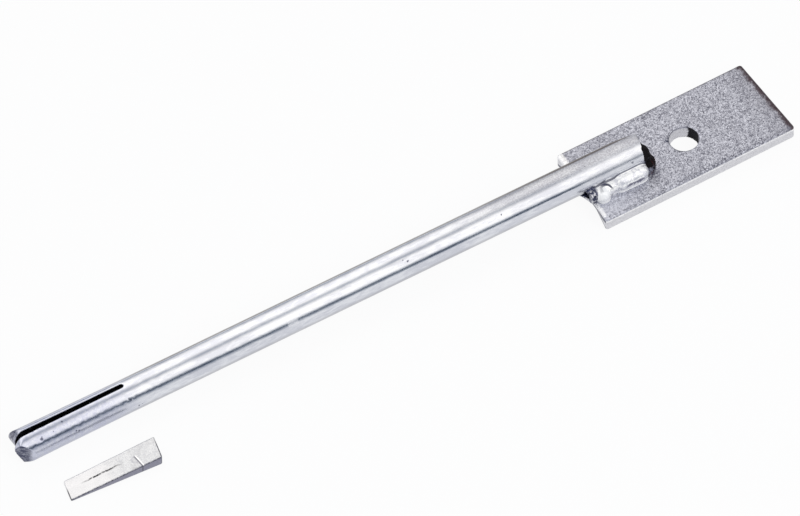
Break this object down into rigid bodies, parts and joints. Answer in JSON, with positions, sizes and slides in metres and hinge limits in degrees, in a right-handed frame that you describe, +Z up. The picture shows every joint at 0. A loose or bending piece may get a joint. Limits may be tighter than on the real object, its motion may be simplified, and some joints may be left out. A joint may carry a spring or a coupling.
{
  "type": "foundation bolt",
  "caption": "Split foundation bolt: a galvanised round bar slotted at one end for its loose wedge and welded at the other onto a drilled flat plate.",
  "frame": {"origin": "the plate hole's axis at the plate's underside", "axes": "+X runs along the bar towards the plate and +Z is up from the floor it lies on; the bolt rests on its tip and its plate's left bottom edge, so it leans 1.5 degrees about Y"},
  "size_m": [0.4047, 0.059, 0.0248],
  "materials": {
    "rod_zinc": "bright hot-dip galvanised zinc, smooth and wavy, with small pits and nicks",
    "plate_zinc": "hot-dip galvanised zinc, matt, with a fine worm-like grain",
    "weld_zinc": "lumpy weld bead under bright galvanised zinc",
    "weld_scale": "black-brown weld scale where the zinc did not take",
    "wedge_zinc": "thin pale galvanised zinc with a scratched forging lap"
  },
  "bodies": {
    "root": {"split_rod": "rod_zinc", "anchor_plate": "plate_zinc", "front_weld_bead": "weld_zinc", "back_weld_bead": "weld_zinc", "plate_end_weld": "weld_zinc", "rod_end_weld": "weld_scale", "wedge": "wedge_zinc"}
  },
  "joints": []
}
